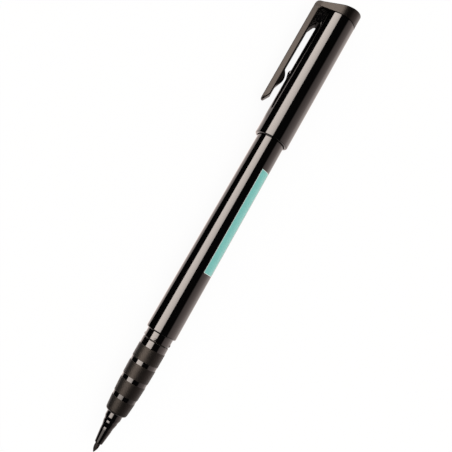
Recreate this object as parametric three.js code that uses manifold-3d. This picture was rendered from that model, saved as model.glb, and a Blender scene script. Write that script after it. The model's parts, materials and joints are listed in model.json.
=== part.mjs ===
// Permanent marker, lying on a table with its cap posted on the tail.
//
// Every piece is drawn in the pen's own frame, in millimetres: x runs along the axis from the tip of
// the nib towards the cap, y points out towards the clip and z runs across the clip. The finished pen
// is then turned about its axis until the clip's edge touches the table, and set down with the
// table's top at z = 0 and the middle of its outline over the origin.

import * as THREE from 'three';
import { mergeVertices } from 'three/addons/utils/BufferGeometryUtils.js';
import Module from 'manifold-3d';

const wasm = await Module();
wasm.setup();

// Clearances
const pressFit = 0.06;            // all round, between a plug and the bore it is pressed into
const runningFit = 0.1;           // all round, between a loose piece and the bore it slides in
const seatGap = 0.25;             // between two faces that meet

// Nib, a rod of bonded fibre
const nibDiameter = 1.55;
const nibLength = 38;
const nibPointLength = 2.1;
const nibTipRadius = 0.22;
const nibShowing = 2.9;

// Nib holder: two tapers with a narrow land behind each, then a straight collar and plug
const holderTipDiameter = 2.4;
const holderTipRadius = 0.22;
const lowerTaperLength = 4.4;
const lowerTaperDiameter = 3.52;
const holderGrooveWidth = 0.3;
const holderGrooveDepth = 0.09;
const lowerLandLength = 0.5;
const middleTaperLength = 1.5;
const upperLandDiameter = 4.28;
const upperLandLength = 0.6;
const upperTaperLength = 1.0;
const collarDiameter = 4.92;
const collarShowing = 1.5;
const holderPlugLength = 7.4;
const holderWall = 0.75;

// Front section: textured grip with three smooth rings, smooth collar, spigot in the barrel
const gripLength = 21.4;
const gripFrontDiameter = 6.86;
const gripRearDiameter = 8.6;
const gripSwell = 2.5;            // power of the curve from the front diameter to the rear one
const gripLipRadius = 0.9;
const ringCount = 3;
const ringWidth = 1.3;
const ringDepth = 0.08;
const firstRing = 5.3;            // from the grip's front face to the middle of the first ring
const ringPitch = 5.6;
const frontCollarLength = 2.2;
const frontCollarDiameter = 8.46;
const frontCollarEdge = 0.16;
const spigotLength = 9.5;
const stopLength = 1.2;           // inner flange between the nib holder and the reservoir
const stopBore = 3.2;

// Barrel
const neckLength = 2.6;
const neckDiameter = 8.48;
const barrelLength = 89.6;        // from the shoulder to the rear end
const shoulderDiameter = 9.82;
const barrelRearDiameter = 8.8;
const shoulderRadius = 0.4;
const barrelBore = 7.4;
const barrelRibCount = 4;
const barrelRibWidth = 0.8;
const pipCount = 4;
const pipLength = 0.9;
const pipHeight = 0.2;
const pipSetback = 0.5;           // from the neck's front end to the middle of a pip

// Tail plug
const tailHeadLength = 1.15;
const tailHeadRadius = 0.4;
const tailPlugLength = 8;
const tailPlugBore = 4.8;

// Reservoir: a fibre core in a film sleeve
const coreDiameter = 5.5;
const sleeveWall = 0.2;

// Cap: tube with a gusset and a small catch, inner cap, crown and clip
const capWall = 0.82;
const capRibCount = 6;
const capRibHeight = 0.13;
const capRibWidth = 1.0;
const capRibLength = 16;
const capRibSetback = 1.6;
const capDraft = 0.19;            // the tube's outer radius shrinks by this from mouth to crown
const capMouthRadius = 0.45;
const innerCapHeadroom = 2;       // between the nib's tip and the inner cap's end, with the cap on
const innerCapWall = 0.55;
const innerCapFlange = 1.4;
const innerCapSeat = 2.65;        // length of the cone that seals on the grip's lip
const innerCapBore = 6.4;
const capLedge = 0.35;            // the tube's bore narrows by this to seat the inner cap's flange
const roofDepth = 3.0;            // from the inner cap's end to the crown's seat

const crownHeight = 3.36;         // on the pen's axis, from the seat to the sloping top
const crownSlope = 11.9;          // degrees; the top falls towards the clip
const crownEdge = 0.32;
const crownCornerRadius = 1.6;
const crownPlugWall = 0.6;

const clipGap = 1.9;              // between the tube and the clip
const clipThickness = 2.08;
const clipWidth = 6.4;
const clipLength = 34.2;          // from the crown's seat to the tip
const clipEdge = 0.3;
const clipInnerRadius = 1.5;
const clipRootLength = 8.6;       // stretch over the gusset, moulded with the crown
const clipNoseHeight = 0.75;
const clipNoseRadius = 0.52;
const clipRampLength = 2.5;
const clipPlanRadius = 1.4;

const ballSetback = 8.9;          // from the clip's tip to the lowest point of its ball
const ballHeight = 1.25;
const ballRadius = 3;
const ballRamp = 22;              // degrees; a pocket's edge rides up it from the tip
const ballWidth = 2.4;
const catchSetback = 11.3;        // from the clip's tip to the top of the catch on the tube
const catchHeight = 0.5;
const catchRadius = 1.1;
const catchRamp = 13;             // degrees
const catchWidth = 2.2;

const gussetWidth = 2.4;
const gussetStart = 5.3;          // from the crown's seat to the gusset's foot
const gussetLean = 2.6;
const gussetFootHeight = 0.45;

// Facets round a full turn
const bodyFacets = 40;
const smallFacets = 24;
const nibFacets = 16;

// Stations along the pen, from the nib's tip
const holderStart = nibShowing;
const grooveStation = holderStart + lowerTaperLength;
const lowerLand = grooveStation + holderGrooveWidth;
const middleTaper = lowerLand + lowerLandLength;
const upperLand = middleTaper + middleTaperLength;
const upperTaper = upperLand + upperLandLength;
const collarStation = upperTaper + upperTaperLength;
const gripStart = collarStation + collarShowing;
const holderEnd = gripStart + holderPlugLength;
const stopStation = holderEnd + seatGap;
const chamberStart = stopStation + stopLength;
const reservoirStart = chamberStart + seatGap;
const gripEnd = gripStart + gripLength;
const frontEnd = gripEnd + frontCollarLength;
const spigotEnd = frontEnd + spigotLength;
const barrelStart = frontEnd + seatGap;
const shoulder = barrelStart + neckLength;
const barrelEnd = shoulder + barrelLength;
const tailSeat = barrelEnd + seatGap;
const tailEnd = tailSeat + tailHeadLength;
const tailPlugStart = barrelEnd - tailPlugLength;
const reservoirEnd = tailPlugStart - seatGap;

// Depths in the cap follow the nose that it closes over: its mouth meets the barrel's shoulder
const innerCapDepth = shoulder - gripStart - innerCapSeat;
const innerCapStart = tailEnd + seatGap;
const capMouth = innerCapStart - innerCapDepth;
const cavityEnd = capMouth + shoulder + innerCapHeadroom;
const innerCapEnd = cavityEnd + innerCapWall;
const crownSeat = innerCapEnd + roofDepth;
const tubeEnd = crownSeat - seatGap;
const ledgeStation = innerCapStart + innerCapFlange + seatGap;
const clipTip = crownSeat - clipLength;
const clipSplit = crownSeat - clipRootLength;

// Radii that follow from their neighbours
const barrelTaper = (shoulderDiameter - barrelRearDiameter) / 2 / barrelLength;
const barrelRadius = (x) => shoulderDiameter / 2 - (x - shoulder) * barrelTaper;
const sleeveInner = coreDiameter / 2 + pressFit;
const sleeveOuter = sleeveInner + sleeveWall;
const chamberRadius = sleeveOuter + runningFit;
const nibHole = nibDiameter / 2 + pressFit;
const capBore = barrelRadius(capMouth) + runningFit + capRibHeight;
const capMouthOuter = capBore + capWall;
const capTopOuter = capMouthOuter - capDraft;
const capOuter = (x) => capMouthOuter - (capDraft * (x - capMouth)) / (tubeEnd - capMouth);
const capUpperBore = capBore - capLedge;
const clipInner = capTopOuter + clipGap;
const clipOuter = clipInner + clipThickness;

// Makes a geometry one closed surface: shared corners merged, slivers at the poles dropped
function closed(geometry) {
  geometry.deleteAttribute('normal');
  geometry.deleteAttribute('uv');
  const merged = mergeVertices(geometry, 1e-4);
  const kept = [];
  const index = merged.index.array;
  for (let i = 0; i < index.length; i += 3) {
    const [a, b, c] = [index[i], index[i + 1], index[i + 2]];
    if (a !== b && b !== c && c !== a) kept.push(a, b, c);
  }
  merged.setIndex(kept);
  return merged;
}

function toSolid(geometry) {
  const merged = closed(geometry);
  return new wasm.Manifold(new wasm.Mesh({
    numProp: 3,
    vertProperties: new Float32Array(merged.attributes.position.array),
    triVerts: new Uint32Array(merged.index.array),
  }));
}

function toGeometry(solid) {
  const { vertProperties, triVerts } = solid.getMesh();
  const geometry = new THREE.BufferGeometry();
  geometry.setAttribute('position', new THREE.BufferAttribute(vertProperties, 3));
  geometry.setIndex(new THREE.BufferAttribute(triVerts, 1));
  return geometry;
}

// Joins the tools to a body, then cuts others out of it
function combine(body, joined, cut = []) {
  let solid = toSolid(body);
  for (const tool of joined) solid = solid.add(toSolid(tool));
  for (const tool of cut) solid = solid.subtract(toSolid(tool));
  return toGeometry(solid);
}

// Turns a profile of [station, radius] points round the pen's axis
function turned(profile, facets) {
  const points = profile.map(([station, radius]) => new THREE.Vector2(radius, station));
  return new THREE.LatheGeometry(points, facets).rotateZ(-Math.PI / 2);
}

// Points of a fillet about a centre in a profile, from one angle to another in degrees
function fillet(station, radius, size, from, to, steps = 4) {
  return Array.from({ length: steps + 1 }, (_, i) => {
    const angle = THREE.MathUtils.degToRad(from + ((to - from) * i) / steps);
    return [station + size * Math.cos(angle), radius + size * Math.sin(angle)];
  });
}

// Extrudes a side view of [station, height] points across the clip's width
function sideExtrusion(outline, width) {
  const shape = new THREE.Shape(outline.map(([x, y]) => new THREE.Vector2(x, y)));
  const geometry = new THREE.ExtrudeGeometry(shape, { depth: width, bevelEnabled: false });
  return geometry.translate(0, 0, -width / 2);
}

// Joins rings of [x, y, z] points, one after the other, and closes both ends with a fan
function loft(rings) {
  const count = rings[0].length;
  const positions = rings.flat(2);
  const index = [];
  for (let ring = 0; ring + 1 < rings.length; ring += 1) {
    for (let i = 0; i < count; i += 1) {
      const a = ring * count + i;
      const b = ring * count + ((i + 1) % count);
      index.push(a, b, a + count, b, b + count, a + count);
    }
  }
  for (const [ring, flip] of [[0, true], [rings.length - 1, false]]) {
    const centre = positions.length / 3;
    for (const axis of [0, 1, 2]) {
      positions.push(rings[ring].reduce((sum, point) => sum + point[axis], 0) / count);
    }
    for (let i = 0; i < count; i += 1) {
      const a = ring * count + i;
      const b = ring * count + ((i + 1) % count);
      index.push(...(flip ? [b, a, centre] : [a, b, centre]));
    }
  }
  const geometry = new THREE.BufferGeometry();
  geometry.setAttribute('position', new THREE.Float32BufferAttribute(positions, 3));
  geometry.setIndex(index);
  return geometry;
}

// A bar along the pen, inside a bore: repeated round the axis as the bore's ribs
function ribs(count, start, end, innerRadius, outerRadius, width) {
  return Array.from({ length: count }, (_, i) => {
    const bar = new THREE.BoxGeometry(end - start, outerRadius - innerRadius, width);
    bar.translate((start + end) / 2, (innerRadius + outerRadius) / 2, 0);
    return bar.rotateX((2 * Math.PI * (i + 0.5)) / count);
  });
}

// Nib: a pointed ogive whose very tip is rounded, and a plain rod behind it
function nibGeometry() {
  const radius = nibDiameter / 2;
  const sweep = (radius ** 2 + nibPointLength ** 2) / (2 * radius);
  const ogive = (x) => Math.sqrt(sweep ** 2 - (nibPointLength - x) ** 2) + radius - sweep;
  const profile = fillet(nibTipRadius, 0, nibTipRadius, 180, 120, 2);
  const steps = 6;
  for (let i = 2; i <= steps; i += 1) {
    const x = (nibPointLength * i) / steps;
    profile.push([x, ogive(x)]);
  }
  profile.push([nibLength, radius], [nibLength, 0]);
  return turned(profile, nibFacets);
}

// Nib holder: the stepped cone that shows, then the plug, with the nib's hole right through
function holderGeometry() {
  const tip = holderTipDiameter / 2;
  const lower = lowerTaperDiameter / 2;
  const upper = upperLandDiameter / 2;
  const collar = collarDiameter / 2;
  const rearBore = collar - holderWall;
  return turned([
    [holderStart, nibHole],
    ...fillet(holderStart + holderTipRadius, tip - holderTipRadius, holderTipRadius, 180, 90, 3),
    [grooveStation, lower],
    [grooveStation + holderGrooveWidth / 2, lower - holderGrooveDepth],
    [lowerLand, lower],
    [middleTaper, lower],
    [upperLand, upper],
    [upperTaper, upper],
    [collarStation, collar],
    [holderEnd, collar],
    [holderEnd, rearBore],
    [gripStart, rearBore],
    [collarStation, nibHole],
    [holderStart, nibHole],
  ], smallFacets);
}

// Radius of the grip's textured surface
function gripRadius(x) {
  const front = gripFrontDiameter / 2;
  const rear = gripRearDiameter / 2;
  const along = (x - gripStart - gripLipRadius) / (gripLength - gripLipRadius);
  return rear - (rear - front) * Math.max(0, 1 - along) ** gripSwell;
}

function gripOutline() {
  const front = gripFrontDiameter / 2;
  const outline = fillet(gripStart + gripLipRadius, front - gripLipRadius, gripLipRadius, 180, 90);
  let station = gripStart + gripLipRadius;
  for (let ring = 0; ring < ringCount; ring += 1) {
    const centre = gripStart + firstRing + ring * ringPitch;
    const [near, far] = [centre - ringWidth / 2, centre + ringWidth / 2];
    outline.push([(station + near) / 2, gripRadius((station + near) / 2)]);
    outline.push([near, gripRadius(near)], [near, gripRadius(near) - ringDepth]);
    outline.push([far, gripRadius(far) - ringDepth], [far, gripRadius(far)]);
    station = far;
  }
  outline.push([gripEnd, gripRadius(gripEnd)]);
  return outline;
}

// Front section: grip, collar and spigot outside, holder's bore and reservoir's chamber inside
function frontGeometry() {
  const holderBore = collarDiameter / 2 + pressFit;
  const collar = frontCollarDiameter / 2;
  const spigot = barrelBore / 2 - pressFit;
  return turned([
    [gripStart, holderBore],
    ...gripOutline(),
    [gripEnd, collar],
    [frontEnd - frontCollarEdge, collar],
    [frontEnd, collar - frontCollarEdge],
    [frontEnd, spigot],
    [spigotEnd - frontCollarEdge, spigot],
    [spigotEnd, spigot - frontCollarEdge],
    [spigotEnd, chamberRadius],
    [chamberStart, chamberRadius],
    [chamberStart, stopBore / 2],
    [stopStation, stopBore / 2],
    [stopStation, holderBore],
    [gripStart, holderBore],
  ], bodyFacets);
}

// Barrel: neck, rounded shoulder and tapered tube, ribs in its bore and four pips on its neck
function barrelGeometry() {
  const bore = barrelBore / 2;
  const neck = neckDiameter / 2;
  const body = shoulderDiameter / 2;
  const tube = turned([
    [barrelStart, bore],
    [barrelStart, neck - frontCollarEdge],
    [barrelStart + frontCollarEdge, neck],
    [shoulder, neck],
    ...fillet(shoulder + shoulderRadius, body - shoulderRadius, shoulderRadius, 180, 90),
    [barrelEnd, barrelRadius(barrelEnd)],
    [barrelEnd, bore],
    [barrelStart, bore],
  ], bodyFacets);
  const ribStart = spigotEnd + seatGap;
  const ribEnd = tailPlugStart - seatGap;
  const ribRoot = bore + (barrelRadius(barrelEnd) - bore) / 2;
  const bars = ribs(barrelRibCount, ribStart, ribEnd, chamberRadius, ribRoot, barrelRibWidth);
  const pipRise = (pipHeight + (neck - bore) / 2) / 2;
  const pips = Array.from({ length: pipCount }, (_, i) => {
    const pip = new THREE.SphereGeometry(1, 12, 8);
    pip.scale(pipLength / 2, pipRise, pipLength / 2);
    pip.translate(barrelStart + pipSetback, neck + pipHeight - pipRise, 0);
    return pip.rotateX((2 * Math.PI * i) / pipCount);
  });
  return combine(tube, [...bars, ...pips]);
}

// Tail plug: a rounded head flush with the barrel and a hollow plug that holds the reservoir
function tailPlugGeometry() {
  const head = barrelRadius(barrelEnd);
  const plug = barrelBore / 2 - pressFit;
  const bore = tailPlugBore / 2;
  return turned([
    [tailSeat, 0],
    [tailSeat, bore],
    [tailPlugStart, bore],
    [tailPlugStart, plug],
    [tailSeat, plug],
    [tailSeat, head],
    ...fillet(tailEnd - tailHeadRadius, head - tailHeadRadius, tailHeadRadius, 90, 0),
    [tailEnd, 0],
  ], bodyFacets);
}

// Ink reservoir: the fibre core has a socket for the nib, the film sleeve is open at both ends
function coreGeometry() {
  const core = coreDiameter / 2;
  const socketEnd = nibLength + seatGap;
  return turned([
    [socketEnd, 0],
    [socketEnd, nibHole],
    [reservoirStart, nibHole],
    [reservoirStart, core],
    [reservoirEnd, core],
    [reservoirEnd, 0],
  ], smallFacets);
}

function sleeveGeometry() {
  return turned([
    [reservoirStart, sleeveInner],
    [reservoirStart, sleeveOuter],
    [reservoirEnd, sleeveOuter],
    [reservoirEnd, sleeveInner],
    [reservoirStart, sleeveInner],
  ], smallFacets);
}

// Inner cap: a thimble whose cone seals on the grip's lip and whose flange seats on the tube's ledge
function innerCapGeometry() {
  const bore = innerCapBore / 2;
  const mouth = gripRadius(gripStart + innerCapSeat) + runningFit;
  const flange = capBore - runningFit;
  const throat = mouth - ((mouth - bore) * innerCapFlange) / innerCapSeat;
  return turned([
    [cavityEnd, 0],
    [cavityEnd, bore],
    [innerCapStart + innerCapSeat, bore],
    [innerCapStart, mouth],
    [innerCapStart, flange],
    [innerCapStart + innerCapFlange, flange],
    [innerCapStart + innerCapFlange, throat + innerCapWall],
    [innerCapStart + innerCapSeat, bore + innerCapWall],
    [innerCapEnd, bore + innerCapWall],
    [innerCapEnd, 0],
  ], smallFacets);
}

// Side view of a bump on a surface: an arc at its back, then a straight ramp that falls towards the
// nib. It stands out from the axis, or in towards it where side is -1, and is rooted below the surface
function bumpOutline(station, surface, side, height, radius, ramp, rootDepth) {
  const sunk = radius - height;
  const back = THREE.MathUtils.radToDeg(Math.asin(sunk / radius));
  const arc = fillet(station, -sunk, radius, back, 90 + ramp, 8);
  const [rampStart, rampHeight] = arc[arc.length - 1];
  const rampEnd = rampStart - rampHeight / Math.tan(THREE.MathUtils.degToRad(ramp));
  const outline = [[arc[0][0], -rootDepth], ...arc, [rampEnd, 0], [rampEnd, -rootDepth]];
  return outline.map(([x, rise]) => [x, surface + side * rise]);
}

// Cap tube: drafted sleeve with grip ribs in its mouth, a ledge for the inner cap, the gusset that
// carries the clip's root, and a small catch opposite the clip's ball
function tubeGeometry() {
  const sleeve = turned([
    [capMouth, capBore + capMouthRadius / 2],
    ...fillet(capMouth + capMouthRadius, capMouthOuter - capMouthRadius, capMouthRadius, 180, 90),
    [tubeEnd, capTopOuter],
    [tubeEnd, capUpperBore],
    [ledgeStation, capUpperBore],
    [ledgeStation, capBore],
    [capMouth + capMouthRadius / 2, capBore],
    [capMouth, capBore + capMouthRadius / 2],
  ], bodyFacets);
  const ribStart = capMouth + capRibSetback;
  const ribRoot = capBore + capWall / 2;
  const ribTop = capBore - capRibHeight;
  const bars = ribs(capRibCount, ribStart, ribStart + capRibLength, ribTop, ribRoot, capRibWidth);

  const root = capTopOuter - capWall / 2;
  const top = clipInner - seatGap;
  const foot = crownSeat - gussetStart;
  const footTop = capTopOuter + gussetFootHeight;
  const corner = [crownSeat - clipInnerRadius, clipInner - clipInnerRadius];
  const gusset = sideExtrusion([
    [tubeEnd, root],
    ...fillet(...corner, clipInnerRadius - seatGap, 0, 90),
    [foot - gussetLean, top],
    [foot - gussetFootHeight, footTop + gussetFootHeight],
    [foot, footTop],
    [foot, root],
  ], gussetWidth);

  const catchStation = clipTip + catchSetback;
  const surface = capOuter(catchStation);
  const rootDepth = capWall / 2;
  const catchSide = bumpOutline(
    catchStation, surface, 1, catchHeight, catchRadius, catchRamp, rootDepth,
  );
  return combine(sleeve, [...bars, gusset, sideExtrusion(catchSide, catchWidth)]);
}

// Side view of the crown's top: it falls towards the clip by the crown's slope
const slope = THREE.MathUtils.degToRad(crownSlope);
const crownTop = (y) => crownSeat + crownHeight - y * Math.tan(slope);

// Plan of the crown, set in by a distance: the tube's circle drawn out in straight flanks to the clip
function crownPlan(inset) {
  const radius = capTopOuter - inset;
  const half = clipWidth / 2 - inset;
  const outer = clipOuter - inset;
  const tangent = Math.atan2(half, clipInner) + Math.acos(radius / Math.hypot(clipInner, half));
  const steps = bodyFacets - 8;
  const plan = Array.from({ length: steps + 1 }, (_, i) => {
    const angle = tangent + ((2 * Math.PI - 2 * tangent) * i) / steps;
    return [radius * Math.cos(angle), radius * Math.sin(angle)];
  });
  plan.push([clipInner, -half], [outer - clipEdge, -half], [outer, clipEdge - half]);
  plan.push([outer, half - clipEdge], [outer - clipEdge, half], [clipInner, half]);
  return plan;
}

// Ring of the clip's chamfered section at a station
function clipSection(x, low, high, half) {
  const edge = Math.min(clipEdge, (high - low) / 3);
  return [
    [x, low, edge - half], [x, low + edge, -half], [x, high - edge, -half], [x, high, edge - half],
    [x, high, half - edge], [x, high - edge, half], [x, low + edge, half], [x, low, half - edge],
  ];
}

// Crown: sloping-topped head, the clip's root over the gusset, and a hollow plug in the tube
function crownGeometry() {
  const ring = (inset, station) => crownPlan(inset).map(([y, z]) => [station(y), y, z]);
  const soft = crownEdge * (1 - Math.SQRT1_2);
  const head = loft([
    ring(0, () => crownSeat),
    ring(0, (y) => crownTop(y) - crownEdge),
    ring(soft, (y) => crownTop(y) - soft),
    ring(crownEdge, crownTop),
  ]);

  const half = clipWidth / 2;
  const overlap = crownHeight / 4;
  const root = loft([
    clipSection(clipSplit, clipInner, clipOuter, half),
    clipSection(crownSeat + overlap, clipInner, clipOuter, half),
  ]);
  const innerCorner = sideExtrusion([
    [crownSeat - clipInnerRadius, clipInner + clipEdge],
    ...fillet(crownSeat - clipInnerRadius, clipInner - clipInnerRadius, clipInnerRadius, 90, 0),
    [crownSeat + overlap, clipInner - clipInnerRadius],
    [crownSeat + overlap, clipInner + clipEdge],
  ], clipWidth - 2 * clipEdge);

  const plugOuter = capUpperBore - pressFit;
  const plugInner = plugOuter - crownPlugWall;
  const plugStart = innerCapEnd + seatGap;
  const plug = turned([
    [plugStart, plugInner],
    [plugStart, plugOuter],
    [crownSeat + overlap, plugOuter],
    [crownSeat + overlap, plugInner],
    [plugStart, plugInner],
  ], bodyFacets);

  const normal = [Math.cos(slope), Math.sin(slope)];
  const cornerY = clipOuter - crownCornerRadius;
  const cornerX = crownTop(cornerY) - crownCornerRadius / normal[0];
  const away = 2 * crownCornerRadius;
  const arc = fillet(cornerX, cornerY, crownCornerRadius, 90, crownSlope, 6);
  const arcEnd = arc[arc.length - 1];
  const outerCorner = sideExtrusion([
    ...arc,
    [arcEnd[0] + away * normal[0], arcEnd[1] + away * normal[1]],
    [cornerX + 2 * away, clipOuter + away],
    [cornerX, clipOuter + away],
  ], 2 * clipWidth);
  return combine(head, [root, innerCorner, plug], [outerCorner]);
}

// Clip arm: a chamfered strap with a rounded, ramped tip, and the ball that bears on the pocket
function clipGeometry() {
  const rounded = (depth, radius) => {
    const reach = Math.max(0, radius - depth);
    return radius - Math.sqrt(radius ** 2 - reach ** 2);
  };
  const section = (depth) => {
    const ramp = Math.max(0, 1 - depth / clipRampLength);
    const low = clipInner + (clipThickness - clipNoseHeight) * ramp;
    const high = clipOuter - rounded(depth, clipNoseRadius);
    const half = clipWidth / 2 - rounded(depth, clipPlanRadius);
    return clipSection(clipTip + depth, low, high, half);
  };
  const steps = 5;
  const depths = Array.from({ length: steps + 1 }, (_, i) => clipPlanRadius * (i / steps) ** 2);
  depths.push(clipRampLength, clipSplit - seatGap - clipTip);
  const strap = loft(depths.map(section));
  const ballStation = clipTip + ballSetback;
  const ballSide = bumpOutline(
    ballStation, clipInner, -1, ballHeight, ballRadius, ballRamp, clipThickness / 2,
  );
  return combine(strap, [sideExtrusion(ballSide, ballWidth)]);
}

// Finishes
const finish = (color, roughness) => new THREE.MeshStandardMaterial({
  color, roughness, metalness: 0,
});
const glossBlack = finish(0x0a0a0b, 0.12);
const texturedBlack = finish(0x1f1d1c, 0.55);
const innerBlack = finish(0x101011, 0.35);
const naturalWhite = finish(0xe4e2dc, 0.4);
const inkedFibre = finish(0x1b1716, 0.9);
const reservoirFibre = finish(0x2a2628, 0.95);
const clearFilm = finish(0xd9dcdd, 0.25);

const pieces = [
  ['nib', nibGeometry(), inkedFibre],
  ['nib_holder', holderGeometry(), glossBlack],
  ['front_grip', frontGeometry(), texturedBlack],
  ['barrel', barrelGeometry(), glossBlack],
  ['ink_reservoir', coreGeometry(), reservoirFibre],
  ['reservoir_sleeve', sleeveGeometry(), clearFilm],
  ['tail_plug', tailPlugGeometry(), innerBlack],
  ['cap_tube', tubeGeometry(), glossBlack],
  ['inner_cap', innerCapGeometry(), naturalWhite],
  ['cap_crown', crownGeometry(), texturedBlack],
  ['clip_arm', clipGeometry(), texturedBlack],
];

const pen = new THREE.Group();
for (const [name, geometry, material] of pieces) {
  const mesh = new THREE.Mesh(closed(geometry), material);
  mesh.name = name;
  pen.add(mesh);
}

// Lays the pen down: it rests on the cap's mouth and on the lower edge of its clip
const clipReach = clipOuter - clipEdge;
const clipHalf = clipWidth / 2;
const restTurn = Math.asin(capMouthOuter / Math.hypot(clipReach, clipHalf))
  - Math.atan2(clipHalf, clipReach);
pen.rotation.x = -restTurn;

const marker = new THREE.Group();
marker.add(pen);
marker.updateMatrixWorld(true);
const bounds = new THREE.Box3().setFromObject(marker, true);
const middle = bounds.getCenter(new THREE.Vector3());
pen.position.set(-middle.x, -middle.y, -bounds.min.z);

export default marker;
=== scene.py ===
import cmath
import json
import math

import bmesh
import bpy
from mathutils import Matrix, Vector


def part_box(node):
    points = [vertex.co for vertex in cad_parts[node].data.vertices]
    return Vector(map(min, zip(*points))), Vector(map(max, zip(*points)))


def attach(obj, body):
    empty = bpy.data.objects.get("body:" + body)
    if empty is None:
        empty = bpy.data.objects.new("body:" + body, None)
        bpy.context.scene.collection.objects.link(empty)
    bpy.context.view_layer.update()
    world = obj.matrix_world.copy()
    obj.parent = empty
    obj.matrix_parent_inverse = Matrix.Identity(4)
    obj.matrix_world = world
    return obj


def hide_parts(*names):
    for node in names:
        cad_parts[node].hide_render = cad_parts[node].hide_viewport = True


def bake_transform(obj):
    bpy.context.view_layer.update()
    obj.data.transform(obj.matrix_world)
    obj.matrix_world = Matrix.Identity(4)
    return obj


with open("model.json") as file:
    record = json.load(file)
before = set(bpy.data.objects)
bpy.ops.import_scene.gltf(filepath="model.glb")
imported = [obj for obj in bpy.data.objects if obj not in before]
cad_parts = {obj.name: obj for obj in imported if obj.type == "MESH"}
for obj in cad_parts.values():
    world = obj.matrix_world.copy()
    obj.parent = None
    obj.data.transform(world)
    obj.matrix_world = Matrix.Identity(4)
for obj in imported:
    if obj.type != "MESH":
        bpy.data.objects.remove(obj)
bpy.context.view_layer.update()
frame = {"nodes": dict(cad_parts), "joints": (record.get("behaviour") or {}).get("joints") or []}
scene = bpy.context.scene


# Nib
# A rod of bonded polyester fibre, 1.55 mm thick and soaked with ink. Its end is ground to a blunt
# point, and it is pressed through the nib holder until it dips into the reservoir.

# Pieces are drawn in millimetres in the pen's own frame: x along its axis from the nib's tip, y out
# towards the clip, z across the clip. The resting pen is turned until its clip touches the table.
millimetre = 0.001
clip_flex = next(joint for joint in frame["joints"] if joint["name"] == "clip_flex")
rest_turn = math.atan2(-clip_flex["axis"][1], -clip_flex["axis"][2])
pen_origin = sum(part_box("barrel"), Vector()) / 2
pen_origin.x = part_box("nib")[0].x
pen_to_row = (Matrix.Translation(pen_origin) @ Matrix.Rotation(-rest_turn, 4, "X")
              @ Matrix.Scale(millimetre, 4))


def stations(node):
    """Where a CAD node starts and ends along the pen, in millimetres from the nib's tip."""
    return [(corner.x - pen_origin.x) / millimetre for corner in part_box(node)]


class Value:
    """A socket of a node tree. Arithmetic on it adds Math nodes to the tree."""

    def __init__(self, tree, socket):
        self.tree, self.socket = tree, socket

    def math(self, operation, *terms):
        return self.tree.add("ShaderNodeMath", {"operation": operation}, dict(enumerate(terms)))

    def __add__(self, other):
        return self.math("ADD", self, other)

    def __sub__(self, other):
        return self.math("SUBTRACT", self, other)

    def __rsub__(self, other):
        return self.math("SUBTRACT", other, self)

    def __mul__(self, other):
        return self.math("MULTIPLY", self, other)

    def __truediv__(self, other):
        return self.math("DIVIDE", self, other)

    __radd__, __rmul__ = __add__, __mul__

    def floor(self):
        return self.math("FLOOR", self)

    def between(self, low, high):
        """0 at one value and 1 at the other, eased and held beyond them."""
        sockets = {"Value": self, "From Min": low, "From Max": high}
        return self.tree.add("ShaderNodeMapRange", {"interpolation_type": "SMOOTHSTEP"}, sockets)


class Tree:
    """Adds nodes to a tree: the type first, then the settings, then the sockets."""

    def __init__(self, nodes, links):
        self.nodes, self.links = nodes, links

    def add(self, kind, settings={}, sockets={}, output=0):
        node = self.nodes.new(kind)
        for name, setting in settings.items():
            setattr(node, name, setting)
        for key, value in sockets.items():
            if isinstance(value, Value):
                self.links.new(value.socket, node.inputs[key])
            else:
                node.inputs[key].default_value = value
        return Value(self, node.outputs[output]) if node.outputs else None


def geometry_tree(name, **inputs):
    """An empty Geometry Nodes tree with named inputs, and their sockets as values."""
    group = bpy.data.node_groups.new(name, "GeometryNodeTree")
    group.interface.new_socket("Geometry", in_out="OUTPUT", socket_type="NodeSocketGeometry")
    for label, kind in {"Start": "Geometry", **inputs, "Material": "Material"}.items():
        group.interface.new_socket(label, in_out="INPUT", socket_type=f"NodeSocket{kind}")
    tree = Tree(group.nodes, group.links)
    entry = tree.add("NodeGroupInput").socket.node
    return group, tree, {socket.name: Value(tree, socket) for socket in entry.outputs}


def end_tree(tree, geometry, material):
    """Ends a tree in Realize Instances and Set Material."""
    real = tree.add("GeometryNodeRealizeInstances", {}, {"Geometry": geometry})
    done = tree.add("GeometryNodeSetMaterial", {}, {"Geometry": real, "Material": material})
    tree.add("NodeGroupOutput", {}, {"Geometry": done})


def grown(group, start, **values):
    """The plain mesh that a Geometry Nodes tree makes of a starting mesh."""
    worker = bpy.data.objects.new("worker", start)
    scene.collection.objects.link(worker)
    modifier = worker.modifiers.new("tree", "NODES")
    modifier.node_group = group
    for item in group.interface.items_tree:
        if item.in_out == "INPUT" and item.name in values:
            modifier[item.identifier] = values[item.name]
    graph = bpy.context.evaluated_depsgraph_get()
    mesh = bpy.data.meshes.new_from_object(worker.evaluated_get(graph))
    worker.modifiers.remove(modifier)
    bpy.data.objects.remove(worker)
    mesh.materials.clear()
    mesh.materials.append(values["Material"])
    mesh.polygons.foreach_set("material_index", [0] * len(mesh.polygons))
    return mesh


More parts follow.
